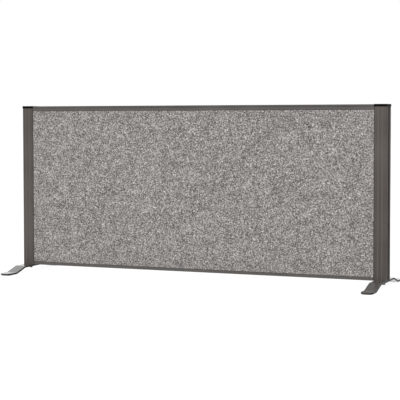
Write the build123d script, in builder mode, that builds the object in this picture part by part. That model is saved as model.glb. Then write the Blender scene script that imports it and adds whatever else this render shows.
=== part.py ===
from build123d import *
import os

# Low free-standing acoustic screen: two aluminium posts on bent steel feet hold two rails and a
# stiff board, and each side of the board carries a soft absorber under a felt cover.
# X runs along the screen, -Y is the front, Z is up, and the origin is on the floor in the middle.
# All sizes are in millimetres.

# Overall
frame_width = 1600  # over the posts; the caps stand out past them
overall_height = 708
overrun = 1  # how far a cut runs past the face that it opens

# Post extrusion
post_width = 50
post_depth = 70
post_corner = 7
post_wall = 2.2
web = 2.0  # channel walls and webs inside the extrusion
groove_width = 1.2
groove_depth = 0.6
groove_place_share = 1 / 3  # two grooves part the post's face into thirds

# Link channel in the post's outer side
link_mouth = 18
link_lip = 2.4
link_cavity_width = 28
link_cavity_depth = 8

# Ports of the post: one for the foot's screw, and a pair for the foot's dowels and the cap's pins
foot_thread = 8
port_spacing = 40
port_wall = 3
thread_clearance = 0.05  # all round a thread, drawn at its outer diameter

# Post cap
cap_height = 9.5
cap_overhang = 1.2  # past the post's faces, all round
cap_edge = 0.8
cap_pin_length = 18
cap_pin_clearance = 0.1

# Core board and the slots that hold it
board_thickness = 12
slot_clearance = 0.3
post_slot_depth = 12
rail_slot_depth = 8
board_end_gap = 0.8

# Rail extrusion, used below and above
rail_recess = 2.5  # behind the post's front face
rail_height = 11.6
rail_wall = 1.8
rail_edge = 0.8
rail_joint_gap = 0.3

# Cover strip on the top rail
cover_drop = 1  # from the caps' top down to the strip's
cover_wall = 1.6
cover_corner = 2.5
cover_leg_inset = 5.5  # from the rail's face to the middle of the leg
cover_leg_width = 2.2
cover_leg_reach = 3
cover_leg_clearance = 0.1

# Corner keys and their screws
key_reach = 40  # inside the rail
key_rise = 42  # inside the post's slot
key_clearance = 0.1
key_thread = 6
key_screw_rise = 30
key_screw_length = 35
key_screw_head = 10
key_screw_head_height = 6
key_screw_hole = 6.6
key_socket = 5
rail_thread = 5
rail_screw_length = 11
rail_screw_head = 9.2
rail_screw_hole = 5.5
rail_screw_first = 20  # from the post's inner face
rail_screw_pitch = 13
rail_socket = 3
socket_depth = 2.5

# Soft faces
felt_gap = 0.5  # between the felt and the frame
felt_recess = 0.5  # behind the rail's face
felt_thickness = 2
felt_edge = 2.4
hem_width = 25
hook_pad_length = 100
hook_pad_height = 50
hook_columns = 4
hook_rows = 3

# Feet
foot_length = 465
foot_width = 47.5
foot_thickness = 7.5
foot_rise = 19.5
foot_slope_run = 70
toe_length = 64  # the level stretch at each end
foot_bend = 6
toe_corner = 19
foot_edge = 0.6
foot_screw_hole = 9
foot_screw_length = 30
foot_screw_head = 13
foot_screw_head_height = 8
foot_screw_edge = 0.8
foot_socket = 6
washer_width = 24
washer_hole = 8.4
washer_thickness = 2
dowel_length = 22
dowel_edge = 0.5
pad_thickness = 1
pad_inset = 4

# Levels and places that follow from the sizes above
frame_bottom = pad_thickness + foot_rise + foot_thickness
frame_top = overall_height - cap_height
post_height = frame_top - frame_bottom
post_middle = frame_width / 2 - post_width / 2
post_inner = frame_width / 2 - post_width
rail_depth = post_depth - 2 * rail_recess
rail_length = 2 * (post_inner - rail_joint_gap)
rail_floor = rail_height - rail_slot_depth
cover_height = cap_height - cover_drop
cover_length = rail_length - 2 * cap_overhang
slot_width = board_thickness + 2 * slot_clearance
panel_bottom = frame_bottom + rail_height
panel_top = frame_top - rail_height
panel_middle = (panel_bottom + panel_top) / 2

# Places inside the post's section, measured outward from its middle
link_floor = post_width / 2 - link_lip - link_cavity_depth
slot_floor = post_slot_depth - post_width / 2
port_radius = foot_thread / 2 + thread_clearance
screw_place = link_floor - port_wall - port_radius  # the foot's screw runs close behind the channel


def upright(side, level):
    # a level plane at a post's middle, its x pointing outward
    return Plane(origin=(side * post_middle, 0, level), x_dir=(side, 0, 0), z_dir=(0, 0, 1))


def outward(side, reach, level):
    # a plane square to the screen's length, facing outward, at a reach from the post's middle
    return Plane(origin=(side * (post_middle + reach), 0, level), x_dir=(0, 1, 0), z_dir=(side, 0, 0))


def frame_level(end, inward):
    # a height inside the frame, from its lower edge (end -1) or its upper edge (end +1)
    return frame_bottom + inward if end < 0 else frame_top - inward


def key_screw_planes(side):
    # planes on the link channel's floor, at the lower and the upper key screw
    return [outward(side, link_floor, frame_level(end, rail_floor + key_screw_rise)) for end in (-1, 1)]


def save(piece, name):
    piece.label = name
    export_step(piece, f"parts/{name}.step")


# Post: a hollow section with the link channel, the board's slot and three ports
def make_post(side):
    with BuildPart() as post:
        with BuildSketch(upright(side, frame_bottom)):
            RectangleRounded(post_width, post_depth, post_corner)
            RectangleRounded(post_width - 2 * post_wall, post_depth - 2 * post_wall,
                             post_corner - post_wall, mode=Mode.SUBTRACT)
            # webs that carry the outer ports
            Rectangle(web, post_depth - post_wall)
            # a spine joins the channel's floor, the board's slot and the inner wall
            spine_length = link_floor + post_width / 2
            with Locations((link_floor - spine_length / 2, 0)):
                Rectangle(spine_length, slot_width + 2 * web)
            hollow_length = link_floor - slot_floor - 2 * web
            with Locations((link_floor - web - hollow_length / 2, 0)):
                Rectangle(hollow_length, slot_width, mode=Mode.SUBTRACT)
            # the link channel's floor, cheeks and lips
            channel_length = web + link_cavity_depth + link_lip
            with Locations((post_width / 2 - channel_length / 2, 0)):
                Rectangle(channel_length, link_cavity_width + 2 * web)
            with Locations((0, -port_spacing / 2), (0, port_spacing / 2), (screw_place, 0)):
                Circle(port_radius + port_wall)
                Circle(port_radius, mode=Mode.SUBTRACT)
            # the open spaces of the channel and the slot
            with Locations((link_floor + link_cavity_depth / 2, 0)):
                Rectangle(link_cavity_depth, link_cavity_width, mode=Mode.SUBTRACT)
            mouth_cut = link_lip + overrun
            with Locations((post_width / 2 - link_lip + mouth_cut / 2, 0)):
                Rectangle(mouth_cut, link_mouth, mode=Mode.SUBTRACT)
            slot_cut = post_slot_depth + overrun
            with Locations((slot_floor - slot_cut / 2, 0)):
                Rectangle(slot_cut, slot_width, mode=Mode.SUBTRACT)
            # fine grooves in the front and rear face
            groove_spacing = post_width * groove_place_share
            with GridLocations(groove_spacing, post_depth, 2, 2):
                Rectangle(groove_width, 2 * groove_depth, mode=Mode.SUBTRACT)
        extrude(amount=post_height)
        # a hole for each key screw, through the channel's floor and the slot's floor
        with Locations(*key_screw_planes(side)):
            Hole(key_screw_hole / 2, depth=link_floor - slot_floor)
    return post.part


# Cap: a plate that stands a little over the post, with two pins in the outer ports
def make_cap(side):
    with BuildPart() as cap:
        with BuildSketch(upright(side, frame_top)):
            RectangleRounded(post_width + 2 * cap_overhang, post_depth + 2 * cap_overhang, post_corner)
        extrude(amount=cap_height)
        fillet(cap.faces().sort_by(Axis.Z)[-1].edges(), cap_edge)
        with BuildSketch(upright(side, frame_top)):
            with GridLocations(0, port_spacing, 1, 2):
                Circle(port_radius - cap_pin_clearance)
        extrude(amount=-cap_pin_length)
    return cap.part


# Rail: the same extrusion below (end -1, slot upward) and above (end +1, slot downward)
def rail_plane(end):
    level = frame_bottom if end < 0 else frame_top
    return Plane(origin=(end * rail_length / 2, 0, level), x_dir=(0, 1, 0), z_dir=(-end, 0, 0))


def screw_planes(end):
    # the places of the four countersunk screws, on the rail's outer face
    level = frame_bottom if end < 0 else frame_top
    first = post_inner - rail_screw_first
    places = (-first, -first + rail_screw_pitch, first - rail_screw_pitch, first)
    return [Plane(origin=(x, 0, level), x_dir=(1, 0, 0), z_dir=(0, 0, end)) for x in places]


def make_rail(end):
    chamber_inner = slot_width / 2 + rail_wall
    chamber_width = rail_depth / 2 - rail_wall - chamber_inner
    slit_spacing = rail_depth - 2 * cover_leg_inset
    with BuildPart() as rail:
        with BuildSketch(rail_plane(end)):
            with Locations((0, rail_height / 2)):
                RectangleRounded(rail_depth, rail_height, rail_edge)
                with GridLocations(2 * chamber_inner + chamber_width, 0, 2, 1):
                    Rectangle(chamber_width, rail_height - 2 * rail_wall, mode=Mode.SUBTRACT)
            with Locations((0, rail_floor)):
                Rectangle(slot_width, rail_slot_depth + overrun, align=(Align.CENTER, Align.MIN),
                          mode=Mode.SUBTRACT)
            # slits for the cover strip's legs
            with GridLocations(slit_spacing, 0, 2, 1):
                Rectangle(cover_leg_width + 2 * cover_leg_clearance, 2 * rail_wall,
                          mode=Mode.SUBTRACT)
        extrude(amount=rail_length)
        with Locations(*screw_planes(end)):
            CounterSinkHole(rail_screw_hole / 2, rail_screw_head / 2, depth=rail_floor)
    return rail.part


# Cover strip: an inverted channel that clips into the top rail
def make_cover():
    leg_spacing = rail_depth - 2 * cover_leg_inset
    with BuildPart() as cover:
        start = Plane(origin=(-cover_length / 2, 0, frame_top), x_dir=(0, 1, 0), z_dir=(1, 0, 0))
        with BuildSketch(start) as section:
            Rectangle(rail_depth, cover_height, align=(Align.CENTER, Align.MIN))
            fillet(section.vertices().group_by(Axis.Z)[-1], cover_corner)
            Rectangle(rail_depth - 2 * cover_wall, cover_height - cover_wall,
                      align=(Align.CENTER, Align.MIN), mode=Mode.SUBTRACT)
            with Locations((0, -cover_leg_reach)):
                with GridLocations(leg_spacing, 0, 2, 1):
                    Rectangle(cover_leg_width, cover_height - cover_wall + cover_leg_reach,
                              align=(Align.CENTER, Align.MIN))
        extrude(amount=cover_length)
    return cover.part


# Corner key: an angle that lies in the slots of post and rail where they meet
def make_key(side, end):
    key_width = slot_width - 2 * key_clearance
    key_height = rail_slot_depth - key_clearance
    key_leg = post_slot_depth - key_clearance
    corner = Plane(origin=(side * (post_middle + slot_floor), 0, frame_level(end, rail_floor)),
                   x_dir=(-side, 0, 0), z_dir=(0, -side * end, 0))
    with BuildPart() as key:
        with BuildSketch(corner):
            Rectangle(post_slot_depth + key_reach, key_height, align=Align.MIN)
            Rectangle(key_leg, key_rise, align=Align.MIN)
        extrude(amount=key_width / 2, both=True)
        with Locations(outward(side, slot_floor, frame_level(end, rail_floor + key_screw_rise))):
            Hole(key_thread / 2 + thread_clearance, depth=post_slot_depth)
        with Locations(*screw_planes(end)):
            Hole(rail_thread / 2 + thread_clearance, depth=rail_height)
    return key.part


# Screws with a cylindrical or a countersunk head, each with its drive socket
def socket_screws(planes, thread, length, head, head_height, socket, head_edge=0):
    with BuildPart() as screws:
        with Locations(*planes):
            Cylinder(thread / 2, length, align=(Align.CENTER, Align.CENTER, Align.MAX))
            Cylinder(head / 2, head_height, align=(Align.CENTER, Align.CENTER, Align.MIN))
        if head_edge:
            # only heads that hang down are rounded, at their lowest face
            fillet(screws.faces().group_by(Axis.Z)[0].edges(), head_edge)
        with BuildSketch(*[plane.offset(head_height) for plane in planes]):
            RegularPolygon(socket / 2, 6, major_radius=False)
        extrude(amount=-socket_depth, mode=Mode.SUBTRACT)
    return screws.part


def countersunk_screws(planes):
    with BuildPart() as screws:
        with Locations(*planes):
            Cylinder(rail_thread / 2, rail_screw_length, align=(Align.CENTER, Align.CENTER, Align.MAX))
            Cone(rail_thread / 2, rail_screw_head / 2, (rail_screw_head - rail_thread) / 2,
                 align=(Align.CENTER, Align.CENTER, Align.MAX))
        with BuildSketch(*planes):
            RegularPolygon(rail_socket / 2, 6, major_radius=False)
        extrude(amount=-socket_depth, mode=Mode.SUBTRACT)
    return screws.part


# Core board: its edges run in the slots, and its corners are notched for the keys
def make_board():
    board_width = 2 * (post_inner + post_slot_depth - board_end_gap)
    board_bottom = frame_bottom + rail_floor
    board_height = frame_top - rail_floor - board_end_gap - board_bottom
    notch_width = post_slot_depth + key_reach
    notch_height = rail_slot_depth + board_end_gap
    rear_face = Plane(origin=(0, board_thickness / 2, board_bottom), x_dir=(1, 0, 0), z_dir=(0, -1, 0))
    with BuildPart() as board:
        with BuildSketch(rear_face):
            Rectangle(board_width, board_height, align=(Align.CENTER, Align.MIN))
            with Locations((0, board_height / 2)):
                with GridLocations(board_width, board_height, 2, 2):
                    Rectangle(2 * notch_width, 2 * notch_height, mode=Mode.SUBTRACT)
                    Rectangle(2 * post_slot_depth, 2 * (key_rise + board_end_gap), mode=Mode.SUBTRACT)
        extrude(amount=board_thickness)
    return board.part


# Soft faces, front (face -1) and rear (face +1): felt cover, absorber and hook-and-loop pads
soft_width = 2 * (post_inner - felt_gap)
soft_height = panel_top - panel_bottom - 2 * felt_gap
soft_depth = rail_depth / 2 - felt_recess - board_thickness / 2


def board_face(face, height):
    # a plane on the board's face, or at a height over it, looking away from the board
    return Plane(origin=(0, face * (board_thickness / 2 + height), panel_middle),
                 x_dir=(1, 0, 0), z_dir=(0, face, 0))


def make_felt(face):
    with BuildPart() as felt:
        with BuildSketch(board_face(face, 0)):
            Rectangle(soft_width, soft_height)
        extrude(amount=soft_depth)
        outer_face = felt.faces().sort_by(Axis.Y)[0 if face < 0 else -1]
        fillet(outer_face.edges(), felt_edge)
        with BuildSketch(board_face(face, felt_thickness)):
            Rectangle(soft_width - 2 * felt_thickness, soft_height - 2 * felt_thickness)
        extrude(amount=soft_depth - 2 * felt_thickness, mode=Mode.SUBTRACT)
        with BuildSketch(board_face(face, 0)):
            Rectangle(soft_width - 2 * hem_width, soft_height - 2 * hem_width)
        extrude(amount=felt_thickness, mode=Mode.SUBTRACT)
    return felt.part


def make_absorber(face):
    with BuildPart() as absorber:
        with BuildSketch(board_face(face, felt_thickness)):
            Rectangle(soft_width - 2 * felt_thickness, soft_height - 2 * felt_thickness)
        extrude(amount=soft_depth - 2 * felt_thickness)
    return absorber.part


def make_hook_pads(face):
    column_pitch = (soft_width - 2 * hem_width) / hook_columns
    row_pitch = (soft_height - 2 * hem_width) / hook_rows
    with BuildPart() as pads:
        with BuildSketch(board_face(face, 0)):
            with GridLocations(column_pitch, row_pitch, hook_columns, hook_rows):
                Rectangle(hook_pad_length, hook_pad_height)
        extrude(amount=felt_thickness)
    return pads.part


# Foot: a flat bar bent down twice on each side of the post
def make_foot(side):
    toe_end = foot_length / 2
    slope_bottom = toe_end - toe_length
    slope_top = slope_bottom - foot_slope_run
    # the upper face's bends stand out by the plate's thickness times the half turn's tangent
    slope_length = (foot_slope_run**2 + foot_rise**2) ** 0.5
    shift = foot_thickness * (slope_length - foot_slope_run) / foot_rise
    low = pad_thickness
    high = pad_thickness + foot_rise
    left_edge = Plane(origin=(side * post_middle - foot_width / 2, 0, 0), x_dir=(0, 1, 0), z_dir=(1, 0, 0))
    with BuildPart() as foot:
        with BuildSketch(left_edge):
            with BuildLine():
                under = FilletPolyline((0, high), (slope_top, high), (slope_bottom, low), (toe_end, low),
                                       radius=(foot_bend, foot_bend + foot_thickness))
                over = FilletPolyline((0, high + foot_thickness), (slope_top + shift, high + foot_thickness),
                                      (slope_bottom + shift, low + foot_thickness),
                                      (toe_end, low + foot_thickness),
                                      radius=(foot_bend + foot_thickness, foot_bend))
                Line(under @ 1, over @ 1)
                Line(under @ 0, over @ 0)
            make_face()
            mirror(about=Plane.YZ)
        extrude(amount=foot_width)
        fillet(foot.edges().filter_by(Axis.Z), toe_corner)
        fillet(foot.edges(), foot_edge)
        with Locations(upright(side, high + foot_thickness)):
            with Locations((screw_place, 0)):
                Hole(foot_screw_hole / 2, depth=foot_thickness)
            with GridLocations(0, port_spacing, 1, 2):
                Hole(port_radius, depth=foot_thickness)
    return foot.part


def foot_screw_plane(side, level):
    # a plane that looks down, on the axis of the screw below a post
    return Plane(origin=(side * (post_middle + screw_place), 0, level), x_dir=(1, 0, 0), z_dir=(0, 0, -1))


def make_washer(side):
    with BuildPart() as washer:
        with BuildSketch(foot_screw_plane(side, pad_thickness + foot_rise)):
            Circle(washer_width / 2)
            Circle(washer_hole / 2, mode=Mode.SUBTRACT)
        extrude(amount=washer_thickness)
    return washer.part


def make_dowels(side):
    with BuildPart() as dowels:
        with BuildSketch(upright(side, pad_thickness + foot_rise)):
            with GridLocations(0, port_spacing, 1, 2):
                Circle(foot_thread / 2)
        extrude(amount=dowel_length)
        chamfer(dowels.edges().filter_by(GeomType.CIRCLE), dowel_edge)
    return dowels.part


def make_foot_pads(side):
    pad_width = foot_width - 2 * pad_inset
    pad_length = toe_length - 2 * pad_inset
    with BuildPart() as pads:
        with BuildSketch(upright(side, 0)):
            with GridLocations(0, foot_length - toe_length, 1, 2):
                RectangleRounded(pad_width, pad_length, toe_corner - pad_inset)
        extrude(amount=pad_thickness)
    return pads.part


os.makedirs("parts", exist_ok=True)

for side, side_name in ((-1, "left"), (1, "right")):
    save(make_post(side), f"{side_name}_post")
    save(make_cap(side), f"{side_name}_post_cap")
    save(make_foot(side), f"{side_name}_foot")
    save(make_washer(side), f"{side_name}_foot_washer")
    save(make_dowels(side), f"{side_name}_foot_dowels")
    save(make_foot_pads(side), f"{side_name}_foot_pads")
    head_seat = pad_thickness + foot_rise - washer_thickness
    save(socket_screws([foot_screw_plane(side, head_seat)], foot_thread, foot_screw_length,
                       foot_screw_head, foot_screw_head_height, foot_socket, foot_screw_edge),
         f"{side_name}_foot_screw")
    save(socket_screws(key_screw_planes(side), key_thread, key_screw_length, key_screw_head,
                       key_screw_head_height, key_socket),
         f"{side_name}_key_screws")
    for end, end_name in ((-1, "bottom"), (1, "top")):
        save(make_key(side, end), f"{side_name}_{end_name}_key")

for end, end_name in ((-1, "bottom"), (1, "top")):
    save(make_rail(end), f"{end_name}_rail")
    save(countersunk_screws(screw_planes(end)), f"{end_name}_rail_screws")

save(make_cover(), "top_cover")
save(make_board(), "core_board")

for face, face_name in ((-1, "front"), (1, "rear")):
    save(make_felt(face), f"{face_name}_felt")
    save(make_absorber(face), f"{face_name}_absorber")
    save(make_hook_pads(face), f"{face_name}_hook_pads")
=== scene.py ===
import math

import bmesh
import bpy
import numpy as np
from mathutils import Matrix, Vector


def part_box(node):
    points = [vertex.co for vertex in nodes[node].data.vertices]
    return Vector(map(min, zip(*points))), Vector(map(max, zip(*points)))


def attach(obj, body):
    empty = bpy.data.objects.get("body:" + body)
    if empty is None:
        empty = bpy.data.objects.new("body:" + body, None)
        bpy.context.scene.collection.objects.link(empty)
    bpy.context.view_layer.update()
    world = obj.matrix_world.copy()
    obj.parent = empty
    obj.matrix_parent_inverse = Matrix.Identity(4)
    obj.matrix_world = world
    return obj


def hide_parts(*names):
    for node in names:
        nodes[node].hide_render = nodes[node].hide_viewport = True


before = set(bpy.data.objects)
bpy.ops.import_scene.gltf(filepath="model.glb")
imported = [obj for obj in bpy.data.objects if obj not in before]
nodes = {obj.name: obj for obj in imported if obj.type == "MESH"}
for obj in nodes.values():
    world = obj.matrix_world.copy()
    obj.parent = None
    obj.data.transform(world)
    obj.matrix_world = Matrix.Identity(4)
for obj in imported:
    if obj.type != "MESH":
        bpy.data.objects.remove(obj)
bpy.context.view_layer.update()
print("frame loaded:", len(nodes), "pieces")


# Shader sums

class Wire:
    # one socket of a node tree: sums on wires add Math nodes, and node() adds any other node
    def __init__(self, tree, socket=None):
        self.tree = tree
        self.socket = socket

    def node(self, kind, settings=None, sockets=None, out=0):
        made = self.tree.nodes.new(kind)
        for name, value in (settings or {}).items():
            setattr(made, name, value)
        for name, value in (sockets or {}).items():
            if isinstance(value, Wire):
                self.tree.links.new(value.socket, made.inputs[name])
            else:
                made.inputs[name].default_value = value
        return Wire(self.tree, made.outputs[out])

    def math(self, operation, first, second=0.0, clamp=False):
        return self.node("ShaderNodeMath", {"operation": operation, "use_clamp": clamp},
                         {0: first, 1: second})

    def __add__(self, other):
        return self.math("ADD", self, other)

    def __radd__(self, other):
        return self.math("ADD", other, self)

    def __sub__(self, other):
        return self.math("SUBTRACT", self, other)

    def __rsub__(self, other):
        return self.math("SUBTRACT", other, self)

    def __mul__(self, other):
        return self.math("MULTIPLY", self, other)

    def __rmul__(self, other):
        return self.math("MULTIPLY", other, self)

    def __pow__(self, other):
        return self.math("POWER", self, other)

    def __rpow__(self, other):
        return self.math("POWER", other, self)

    def __abs__(self):
        return self.math("ABSOLUTE", self)

    def clamped(self):  # held between 0 and 1
        return self.math("ADD", self, 0.0, clamp=True)

    def span(self, low, high):  # 0 at low and below, 1 at high and above, smooth in between
        return self.node("ShaderNodeMapRange", {"interpolation_type": "SMOOTHSTEP"},
                         {"Value": self, "From Min": low, "From Max": high})

    def part(self, axis):  # one part of a vector
        return self.node("ShaderNodeSeparateXYZ", {}, {"Vector": self}, axis)

    def turned(self, turn=(0, 0, 0), stretch=(1, 1, 1)):  # turned by degrees, then stretched
        radians = [math.radians(degrees) for degrees in turn]
        spun = self.node("ShaderNodeMapping", {}, {"Vector": self, "Rotation": radians})
        return self.node("ShaderNodeMapping", {}, {"Vector": spun, "Scale": stretch})

    def noise(self, scale, detail, rough, warp=0.0):
        return self.node("ShaderNodeTexNoise", {},
                         {"Vector": self, "Scale": scale, "Detail": detail, "Roughness": rough,
                          "Distortion": warp})

    def cells(self, scale, randomness=1.0):  # distance from the middle of the nearest cell
        return self.node("ShaderNodeTexVoronoi", {},
                         {"Vector": self, "Scale": scale, "Randomness": randomness})

    def mixed(self, first, second):  # this wire is the share of the second colour
        return self.node("ShaderNodeMix", {"data_type": "RGBA"}, {0: self, 6: first, 7: second}, 2)


def fromShades(shades):
    # screen shades from 0 to 255 as a linear colour with alpha
    shares = np.array(shades) / 255
    linear = np.where(shares > 0.04045, ((shares + 0.055) / 1.055) ** 2.4, shares / 12.92)
    return (*linear.tolist(), 1.0)


def toned(share, look):
    # the look's dark shade where the share is 0, and its light shade where it is 1
    return share.mixed(fromShades(look["dark"]), fromShades(look["light"]))


def bumped(height, relief):
    return height.node("ShaderNodeBump", {},
                       {"Strength": 1.0, "Distance": relief, "Height": height})


def finishOf(name, build, look):
    # a material: the look's fixed sockets, and those that build works out from object coordinates
    material = bpy.data.materials.new(name)
    material.use_nodes = True
    tree = material.node_tree
    shader = tree.nodes["Principled BSDF"]
    for socket, value in look.get("fixed", {}).items():
        shader.inputs[socket].default_value = value
    place = Wire(tree).node("ShaderNodeTexCoord", out="Object")
    for socket, wire in build(place, look).items():
        tree.links.new(wire.socket, shader.inputs[socket])
    return material


# Finishes: shades from 0 to 255, patterns in repeats a metre, lengths in metres

powderCoat = {"cloud": 7, "streak": (260, 260, 1.5), "peel": 900, "speck": 2400,
              "relief": 0.00006, "rough": 0.55, "cloudRough": 0.16, "speckRough": 0.12}
# the post's paler lip shade is a painted highlight on the lips of its grooves
postCoat = {**powderCoat, "dark": (90, 84, 81), "light": (102, 96, 93), "lipHighlight": (114, 108, 104),
            "postMiddle": 0.775, "grooveAside": 0.0083, "lipStart": 0.0014, "lipEnd": 0.0034,
            "rubbedAndSheen": (30, 30, 6), "lipPolish": 0.08, "fixed": {"Specular IOR Level": 0.02}}
railCoat = {**powderCoat, "dark": (94, 90, 88), "light": (106, 102, 100),
            "fixed": {"Specular IOR Level": 0.12}}
# the top cover takes the rail's powder coat in darker shades: painted shade on the strip
shadedCoverCoat = {**powderCoat, "dark": (88, 85, 83), "light": (101, 98, 96),
             "fixed": {"Specular IOR Level": 0.12}}


def coatedAluminium(place, look):
    # powder coat on an extrusion: cloudy tone, die lines along the bar and a fine orange peel
    cloud = place.noise(look["cloud"], 3, 0.55)
    streak = place.turned(stretch=look["streak"]).noise(1, 2, 0.5)
    peel = place.noise(look["peel"], 2, 0.5)
    speck = place.noise(look["speck"], 1, 0.5)
    tone = (cloud * 0.55 + streak * 0.25 + speck * 0.2).span(0.35, 0.65)
    rough = look["rough"] + (cloud - 0.5) * look["cloudRough"] + (speck - 0.5) * look["speckRough"]
    return {"Base Color": toned(tone, look), "Roughness": rough,
            "Normal": bumped(peel * 0.7 + streak * 0.3, look["relief"])}


def groovedPost(place, look):
    # the post's coat, with a painted highlight as paler streaks on the lips of the two fine grooves
    # in its front and rear face
    fromMiddle = abs(place.part("X")) - look["postMiddle"]
    fromGroove = abs(fromMiddle) - look["grooveAside"]
    # painted highlight: each groove's lips are made paler, unevenly along a stretched noise
    lipHighlight = 1 - abs(fromGroove).span(look["lipStart"], look["lipEnd"])
    rubbedAndSheen = place.turned(stretch=look["rubbedAndSheen"]).noise(1, 3, 0.6)
    litLips = lipHighlight * (0.45 + rubbedAndSheen * 0.6)
    coat = coatedAluminium(place, look)
    return {**coat, "Base Color": litLips.mixed(coat["Base Color"], fromShades(look["lipHighlight"])),
            "Roughness": coat["Roughness"] - lipHighlight * look["lipPolish"]}


def railAluminium(place, look):
    # as the post's coat, with the die lines along the screen
    return coatedAluminium(place.turned((0, 90, 0)), look)


capLook = {"dark": (10, 10, 11), "light": (24, 23, 23), "grain": 1500, "wear": 60,
           "relief": 0.00005, "rough": 0.48, "fixed": {"Specular IOR Level": 0.03}}


def mouldedBlack(place, look):
    # black plastic with a fine eroded grain, a touch greyer on its worn spots
    grain = place.cells(look["grain"])
    wear = place.noise(look["wear"], 4, 0.6).span(0.55, 0.8)
    return {"Base Color": toned((wear * 0.5 + grain * 0.3).clamped(), look),
            "Roughness": look["rough"] + grain * 0.2 - wear * 0.1,
            "Normal": bumped(grain, look["relief"])}


feltLook = {"dark": (66, 62, 60), "light": (255, 248, 243), "tone": 0.346, "contrast": 1.7,
            "clump": 190, "patch": 45, "strand": 500, "fibre": 1300,
            "strandShape": (0.35, 0.5, 1), "fibreShape": (0.12, 0.5, 1), "gapShape": (0.14, 0.5, 1),
            "lightTurns": (0, 37, 81, 118, 152), "darkTurns": (19, 62, 101, 170),
            "fibreTurns": (8, 44, 73, 109, 139, 163), "gapTurns": (27, 58, 95, 128),
            "relief": 0.0009, "rough": 0.88,
            "fixed": {"Sheen Weight": 0.15, "Sheen Roughness": 0.6}}


def crossed(place, turns, scale, shape, operation, warp):
    # strands that cross: stretched noise turned to several angles, the highest or the lowest kept
    stretch = [scale * part for part in shape]
    web = None
    for turn in turns:
        line = place.turned((0, turn, 0), stretch).noise(1, 2, 0.55, warp)
        web = line if web is None else web.math(operation, web, line)
    return web


def melangeFelt(place, look):
    # pressed wool: light and dark strands in loose clumps over a grey ground, with short thin
    # fibres and the gaps between them drawn over all of it
    clump = place.noise(look["clump"], 3, 0.6, 0.6)
    patch = place.noise(look["patch"], 2, 0.5)
    strand, strandShape = look["strand"], look["strandShape"]
    light = crossed(place, look["lightTurns"], strand, strandShape, "MAXIMUM", 0.9)
    dark = crossed(place, look["darkTurns"], strand, strandShape, "MINIMUM", 0.9)
    fibres = crossed(place, look["fibreTurns"], look["fibre"], look["fibreShape"], "MAXIMUM", 0.25)
    gaps = crossed(place, look["gapTurns"], look["fibre"], look["gapShape"], "MINIMUM", 0.25)
    tone = look["tone"] + (clump - 0.5) * 1.9 + (patch - 0.5) * 0.35
    lightShare = ((light - 0.6) * 6 + (clump - 0.5)).clamped()
    darkShare = ((0.38 - dark) * 4 - (clump - 0.5) * 0.5).clamped()
    fine = (fibres - 0.62) * 1.6 + (gaps - 0.38) * 1.2
    share = (tone + lightShare * 0.5 - darkShare * 0.3 + fine).clamped() ** look["contrast"]
    height = fibres * 0.5 + gaps * 0.3 + light * 0.4 + clump * 0.5
    return {"Base Color": toned(share, look), "Roughness": look["rough"] + (clump - 0.5) * 0.15,
            "Normal": bumped(height, look["relief"])}


fleeceLook = {"dark": (168, 168, 165), "light": (222, 222, 218), "pores": 420, "tangle": 500,
              "relief": 0.001, "rough": 0.9}


def fleece(place, look):
    # bonded polyester filling: pale tangled fibres with open pores
    pores = place.cells(look["pores"])
    tangle = place.noise(look["tangle"], 4, 0.65, 1.2)
    return {"Base Color": toned((pores * 0.5 + tangle * 0.5).clamped(), look),
            "Roughness": look["rough"] + (tangle - 0.5) * 0.1,
            "Normal": bumped(tangle + pores, look["relief"])}


boardLook = {"dark": (150, 124, 92), "light": (196, 170, 134), "specks": 900, "clouds": 18,
             "relief": 0.0002, "rough": 0.75}


def fibreboard(place, look):
    # pressed wood fibres: a tan ground that clouds slowly, with darker and paler specks
    specks = place.noise(look["specks"], 3, 0.7)
    clouds = place.noise(look["clouds"], 3, 0.5)
    return {"Base Color": toned((specks * 0.7 + clouds * 0.3).span(0.3, 0.7), look),
            "Roughness": look["rough"] + (clouds - 0.5) * 0.2,
            "Normal": bumped(specks, look["relief"])}


tapeLook = {"dark": (20, 20, 21), "light": (52, 52, 54), "hooks": 700, "disorder": 0.25,
            "relief": 0.0006, "rough": 0.6}


def hookTape(place, look):
    # black tape with rows of tiny hooks
    hooks = place.cells(look["hooks"], look["disorder"])
    return {"Base Color": toned(hooks.clamped(), look), "Roughness": look["rough"] + hooks * 0.3,
            "Normal": bumped(1 - hooks, look["relief"])}


footLook = {"dark": (80, 78, 76), "light": (93, 91, 89), "rimShade": (17, 16, 16), "end": (66, 65, 63),
            "flakes": 2600, "waves": (60, 9, 60), "rub": 26, "relief": 0.00015, "rough": 0.3,
            "rimRough": 0.25, "coat": 1.0,
            "fixed": {"Coat Roughness": 0.14, "Specular IOR Level": 0.3}}


def glossLacquer(place, look):
    # glossy lacquer on steel bar, with fine flakes, soft rolling waves and rubbed patches. The cut
    # rims, whose faces stand upright, are dull and painted nearly black as painted shade, and the
    # sawn ends are paler than they are.
    flakes = place.noise(look["flakes"], 1, 0.5)
    waves = place.turned(stretch=look["waves"]).noise(1, 3, 0.5)
    rub = place.noise(look["rub"], 4, 0.6)
    facing = place.node("ShaderNodeTexCoord", out="Normal")
    cut = 1 - abs(facing.part("Z")).span(0.25, 0.6)
    sawn = abs(facing.part("Y")).span(0.6, 0.95)
    face = toned((flakes * 0.5 + rub * 0.5).span(0.35, 0.65), look)
    # painted shade on the upright rims; the sawn ends keep a paler shade
    edge = sawn.mixed(fromShades(look["rimShade"]), fromShades(look["end"]))
    rough = look["rough"] + (rub - 0.5) * 0.14 + (flakes - 0.5) * 0.05 + cut * look["rimRough"]
    return {"Base Color": cut.mixed(face, edge), "Roughness": rough,
            "Coat Weight": look["coat"] * (1 - cut),
            "Normal": bumped(waves + flakes * 0.1, look["relief"])}


zincLook = {"dark": (88, 88, 90), "light": (142, 142, 145), "crystals": 600, "haze": 120,
            "relief": 0.00004, "rough": 0.34, "fixed": {"Metallic": 1.0}}


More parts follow.
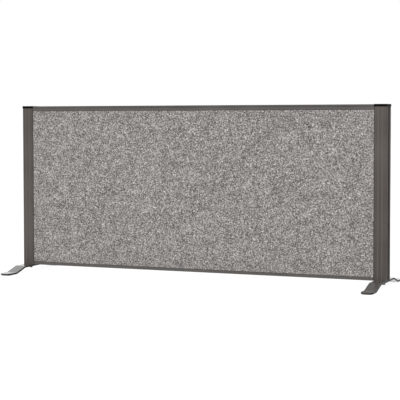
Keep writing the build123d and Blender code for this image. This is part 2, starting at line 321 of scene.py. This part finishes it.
def zincPlate(place, look):
    # plated steel: blueish grey with a crystalline mottle under a slow haze
    crystals = place.cells(look["crystals"])
    haze = place.noise(look["haze"], 3, 0.6)
    return {"Base Color": toned((crystals * 0.5 + haze * 0.5).clamped(), look),
            "Roughness": look["rough"] + (haze - 0.5) * 0.25,
            "Normal": bumped(crystals, look["relief"])}


oxideLook = {"dark": (24, 24, 26), "light": (66, 65, 66), "mottle": 240, "rubbedAndSheen": 700,
             "relief": 0.00005, "rough": 0.42, "fixed": {"Metallic": 0.6}}


def blackOxide(place, look):
    # blackened steel: nearly black with a faint blue cast, mottled, and greyer in rubbed spots
    mottle = place.noise(look["mottle"], 3, 0.6)
    rubbedAndSheen = place.noise(look["rubbedAndSheen"], 2, 0.5).span(0.56, 0.8)
    return {"Base Color": toned((mottle * 0.5 + rubbedAndSheen * 0.5).clamped(), look),
            "Roughness": look["rough"] + (mottle - 0.5) * 0.2 - rubbedAndSheen * 0.1,
            "Normal": bumped(mottle, look["relief"])}


keyLook = {"dark": (150, 150, 152), "light": (196, 196, 198), "lines": (3, 700, 700),
           "relief": 0.00005, "rough": 0.3, "fixed": {"Metallic": 1.0}}


def drawnMetal(place, look):
    # bare extruded bar: long fine draw lines
    lines = place.turned(stretch=look["lines"]).noise(1, 2, 0.6)
    return {"Base Color": toned(lines.span(0.3, 0.7), look),
            "Roughness": look["rough"] + (lines - 0.5) * 0.3,
            "Normal": bumped(lines, look["relief"])}


rubberLook = {"dark": (24, 24, 24), "light": (48, 47, 46), "dust": 300, "grain": 1800,
              "relief": 0.00008, "rough": 0.8}


def mattRubber(place, look):
    # dark rubber sheet with a fine dusty bloom
    dust = place.noise(look["dust"], 4, 0.65)
    grain = place.noise(look["grain"], 1, 0.5)
    return {"Base Color": toned(dust.span(0.45, 0.75), look),
            "Roughness": look["rough"] + (dust - 0.5) * 0.2,
            "Normal": bumped(grain, look["relief"])}


postFinish = finishOf("postCoat", groovedPost, postCoat)
railFinish = finishOf("railCoat", railAluminium, railCoat)
# painted shade: the top cover's coat is a darker copy of the rail's
shadedCoverFinish = finishOf("shadedCoverCoat", railAluminium, shadedCoverCoat)
capFinish = finishOf("capPlastic", mouldedBlack, capLook)
feltFinish = finishOf("feltMelange", melangeFelt, feltLook)
fleeceFinish = finishOf("fillingFleece", fleece, fleeceLook)
boardFinish = finishOf("coreBoard", fibreboard, boardLook)
tapeFinish = finishOf("hookTape", hookTape, tapeLook)
footFinish = finishOf("footLacquer", glossLacquer, footLook)
zincFinish = finishOf("zincPlate", zincPlate, zincLook)
blackFinish = finishOf("blackOxide", blackOxide, oxideLook)
keyFinish = finishOf("drawnMetal", drawnMetal, keyLook)
rubberFinish = finishOf("padRubber", mattRubber, rubberLook)

finishOfNode = {  # by the longest of these that a node's name ends with
    "post": postFinish, "rail": railFinish, "top_cover": shadedCoverFinish, "post_cap": capFinish,
    "felt": feltFinish, "absorber": fleeceFinish, "core_board": boardFinish,
    "hook_pads": tapeFinish, "foot": footFinish, "foot_pads": rubberFinish,
    "foot_washer": blackFinish, "foot_screw": blackFinish, "foot_dowels": zincFinish,
    "screws": zincFinish, "key": keyFinish,
}
for name, piece in nodes.items():
    ending = max((end for end in finishOfNode if name.endswith(end)), key=len)
    piece.data.materials.clear()
    piece.data.materials.append(finishOfNode[ending])
print("finishes on the frame's pieces")


# Soft faces: lengths in metres, steps in rows of faces

meshJoin = {"merge": 1e-6, "dissolve": 1e-7}
slowWaves = {"count": 9, "steepest": 30, "latestStart": 6.28}  # in radians, and radians a metre


def onward(start, end, steps):
    # evenly spaced values from start to end, without the start
    return np.linspace(start, end, steps + 1)[1:]


def wrapGrid(halfWide, halfHigh, across, up, outward, depth):
    # A grid over a core rectangle, carried on by rings round it. Ring k runs outward[k] beyond the
    # core, round a corner of that radius, and lies depth[k] behind the face. A negative reach
    # shrinks the core.
    rings = len(outward)
    column = np.arange(-rings, across + rings + 1)
    row = np.arange(-rings, up + rings + 1)
    columns, rows = np.meshgrid(column, row)
    beyondX = np.where(columns < 0, columns, np.maximum(columns - across, 0))
    beyondZ = np.where(rows < 0, rows, np.maximum(rows - up, 0))
    ring = np.maximum(abs(beyondX), abs(beyondZ))
    reach = np.concatenate([[0], outward])[ring]
    behind = np.concatenate([[0], depth])[ring]
    share = np.maximum(reach, 0) / np.maximum(np.hypot(beyondX, beyondZ), 1)
    shrunk = np.minimum(reach, 0)
    x = (np.clip(columns, 0, across) / across * 2 - 1) * (halfWide + shrunk) + beyondX * share
    z = (np.clip(rows, 0, up) / up * 2 - 1) * (halfHigh + shrunk) + beyondZ * share
    return x, z, behind


def swell(x, z, halfWide, halfHigh, cut, side):
    # The face rises from each edge as 1 - exp(-distance / reach) to a flat crown, and the sum of a
    # few slow sine waves in random directions ripples it.
    fromSide = 1 - np.exp(-np.maximum(halfWide - abs(x), 0) / cut["crownReach"])
    fromTop = 1 - np.exp(-np.maximum(halfHigh - abs(z), 0) / cut["crownReach"])
    steep, latest, count = slowWaves["steepest"], slowWaves["latestStart"], slowWaves["count"]
    chance = np.random.default_rng(cut["seed"] + side)
    draws = chance.uniform((-steep, -steep, 0), (steep, steep, latest), (count, 3))
    waves = sum(np.sin(x * alongX + z * alongZ + start) for alongX, alongZ, start in draws)
    return fromSide * fromTop * (cut["crown"] + cut["ripple"] * waves / math.sqrt(count))


def wrapFace(low, high, cut, outward, depth, side):
    # the grid round a node's face: x, z, how far it lies behind the face and how far it rises
    halfWide, halfHigh = (high.x - low.x) / 2 - cut["edge"], (high.z - low.z) / 2 - cut["edge"]
    across, up = round(2 * halfWide / cut["mesh"]), round(2 * halfHigh / cut["mesh"])
    x, z, behind = wrapGrid(halfWide, halfHigh, across, up, outward, depth)
    rise = np.where(behind == 0, swell(x, z, halfWide, halfHigh, cut, side), 0)
    return x, z + (low.z + high.z) / 2, behind, rise


def gridMesh(name, sheets):
    # each sheet is (x, y, z, flip) on a grid; doubles are merged, so sheets that meet close up
    vertices, faces, start = [], [], 0
    for x, y, z, flip in sheets:
        number = start + np.arange(x.size).reshape(x.shape)
        corners = [number[:-1, :-1], number[:-1, 1:], number[1:, 1:], number[1:, :-1]]
        faces.append(np.stack(corners[::-1] if flip else corners, -1).reshape(-1, 4))
        vertices.append(np.stack([x, y, z], -1).reshape(-1, 3))
        start += x.size
    mesh = bpy.data.meshes.new(name)
    mesh.from_pydata(np.concatenate(vertices).tolist(), [], np.concatenate(faces).tolist())
    joined = bmesh.new()
    joined.from_mesh(mesh)
    bmesh.ops.remove_doubles(joined, verts=joined.verts, dist=meshJoin["merge"])
    bmesh.ops.dissolve_degenerate(joined, edges=joined.edges, dist=meshJoin["dissolve"])
    joined.to_mesh(mesh)
    joined.free()
    mesh.shade_smooth()
    piece = bpy.data.objects.new(name, mesh)
    bpy.context.scene.collection.objects.link(piece)
    return piece


coverCut = {"edge": 0.0027, "turnBack": 0.0025, "hem": 0.025, "thick": 0.002, "mesh": 0.008,
            "bendSteps": 6, "sideSteps": 4, "hemSteps": 5,
            "crown": 0.0008, "crownReach": 0.03, "ripple": 0.00012, "seed": 11}


def feltCover(side, node, name):
    # Felt wrapped round the filling: the face, a rounded edge (a quarter circle), the straight
    # side, a second quarter circle and a hem turned back on the board.
    cut = coverCut
    low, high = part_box(node)
    thick = high.y - low.y
    edge, back = cut["edge"], cut["turnBack"]
    bend = onward(0, math.pi / 2, cut["bendSteps"])
    outward = np.concatenate([edge * np.sin(bend),
                              np.full(cut["sideSteps"], edge),
                              edge - back * (1 - np.cos(bend)),
                              edge - back - onward(0, cut["hem"] - back, cut["hemSteps"])])
    depth = np.concatenate([edge * (1 - np.cos(bend)),
                            onward(edge, thick - back, cut["sideSteps"]),
                            thick - back + back * np.sin(bend),
                            np.full(cut["hemSteps"], thick)])
    x, z, behind, rise = wrapFace(low, high, cut, outward, depth, side)
    face = low.y if side < 0 else high.y
    piece = gridMesh(name, [(x, face + side * (rise - behind), z, side > 0)])
    wall = piece.modifiers.new("thickness", "SOLIDIFY")
    wall.thickness = cut["thick"]
    wall.offset = -1
    wall.use_even_offset = True
    piece.data.materials.append(feltFinish)
    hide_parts(node)
    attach(piece, "root")


fillingCut = {"edge": 0.003, "mesh": 0.012, "bendSteps": 4, "sideSteps": 2,
              "crown": 0.0004, "crownReach": 0.03, "ripple": 0.0001, "seed": 21}


def fillingPad(side, node, name):
    # A flat pad of fleece. Its front and back sheet each have a rounded edge (a quarter circle) and
    # half of the straight side, and meet in the middle of it.
    cut = fillingCut
    low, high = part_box(node)
    thick = high.y - low.y
    edge = cut["edge"]
    bend = onward(0, math.pi / 2, cut["bendSteps"])
    outward = np.concatenate([edge * np.sin(bend), np.full(cut["sideSteps"], edge)])
    depth = np.concatenate([edge * (1 - np.cos(bend)), onward(edge, thick / 2, cut["sideSteps"])])
    x, z, behind, rise = wrapFace(low, high, cut, outward, depth, side)
    middle = (low.y + high.y) / 2
    outer = middle + side * (thick / 2 + rise - behind)
    inner = middle - side * (thick / 2 - behind)
    piece = gridMesh(name, [(x, outer, z, side > 0), (x, inner, z, side < 0)])
    piece.data.materials.append(fleeceFinish)
    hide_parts(node)
    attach(piece, "root")


for side, sideName in ((-1, "front"), (1, "rear")):
    feltCover(side, f"{sideName}_felt", f"{sideName}Cover")
    fillingPad(side, f"{sideName}_absorber", f"{sideName}Filling")
print("soft faces made")


# Studio: a white world, a pale floor and three softboxes

studio = {"worldLight": 0.62, "worldSeen": 1.0, "floorTone": 0.2, "floorLight": 0.56,
          "floorSeen": 0.92, "floorHalf": 40.0, "aimHeight": 0.35}
softboxes = {
    "keyLight": {"place": (0.8, -11.0, 8.2), "size": 9.0, "power": 640},
    "sideLight": {"place": (4.6, -2.2, 3.4), "size": 3.5, "power": 3},
    "rearLight": {"place": (0.5, 5.0, 5.6), "size": 4.0, "power": 88},
}


def litOrSeen(start, lit, seen):
    # the strength that falls on the object, and the one that shows directly, in metal or in glass
    camera, glossy, through = (start.node("ShaderNodeLightPath", out=ray)
                               for ray in ("Is Camera Ray", "Is Glossy Ray", "Is Transmission Ray"))
    return lit + (camera + glossy + through).clamped() * (seen - lit)


world = bpy.data.worlds.new("studioWorld")
world.use_nodes = True
bpy.context.scene.world = world
sky = world.node_tree.nodes["Background"]
sky.inputs["Color"].default_value = (1, 1, 1, 1)
skyStrength = litOrSeen(Wire(world.node_tree), studio["worldLight"], studio["worldSeen"])
world.node_tree.links.new(skyStrength.socket, sky.inputs["Strength"])

floorMaterial = bpy.data.materials.new("studioFloor")
floorMaterial.use_nodes = True
floorTree = floorMaterial.node_tree
floorTree.nodes.remove(floorTree.nodes["Principled BSDF"])
start = Wire(floorTree)
floorColour = (*[studio["floorTone"]] * 3, 1)
paint = start.node("ShaderNodeBsdfDiffuse", {}, {"Color": floorColour})
glowStrength = litOrSeen(start, studio["floorLight"], studio["floorSeen"])
glow = start.node("ShaderNodeEmission", {}, {"Color": (1, 1, 1, 1), "Strength": glowStrength})
both = start.node("ShaderNodeAddShader", {}, {0: paint, 1: glow})
floorTree.links.new(both.socket, floorTree.nodes["Material Output"].inputs["Surface"])

half = studio["floorHalf"]
floorCorners = [(-half, -half, 0), (half, -half, 0), (half, half, 0), (-half, half, 0)]
floorMesh = bpy.data.meshes.new("floor")
floorMesh.from_pydata(floorCorners, [], [(0, 1, 2, 3)])
floorMesh.materials.append(floorMaterial)
floor = bpy.data.objects.new("floor", floorMesh)
bpy.context.scene.collection.objects.link(floor)

for name, box in softboxes.items():
    lamp = bpy.data.lights.new(name, "AREA")
    lamp.size = box["size"]
    lamp.energy = box["power"]
    holder = bpy.data.objects.new(name, lamp)
    holder.location = box["place"]
    fromAim = holder.location.copy()
    fromAim.z -= studio["aimHeight"]
    holder.rotation_euler = fromAim.to_track_quat("Z", "Y").to_euler()
    bpy.context.scene.collection.objects.link(holder)
print("studio lit")


# Camera, fitted to the frame's edges and the feet: metres, degrees and millimetres of lens

shot = {"place": (1.9840, -4.6942, 0.6367), "down": 2.557, "turn": 22.240, "roll": 0.0354,
        "lens": 112.27, "shift": (-0.0292, -0.0541)}
eye = bpy.data.cameras.new("photoCamera")
eye.lens = shot["lens"]
eye.shift_x, eye.shift_y = shot["shift"]
camera = bpy.data.objects.new("photoCamera", eye)
camera.location = shot["place"]
camera.rotation_euler = (math.radians(90 - shot["down"]), math.radians(shot["roll"]),
                         math.radians(shot["turn"]))
bpy.context.scene.collection.objects.link(camera)
bpy.context.scene.camera = camera
bpy.context.scene.view_settings.view_transform = "Standard"
print("camera placed")
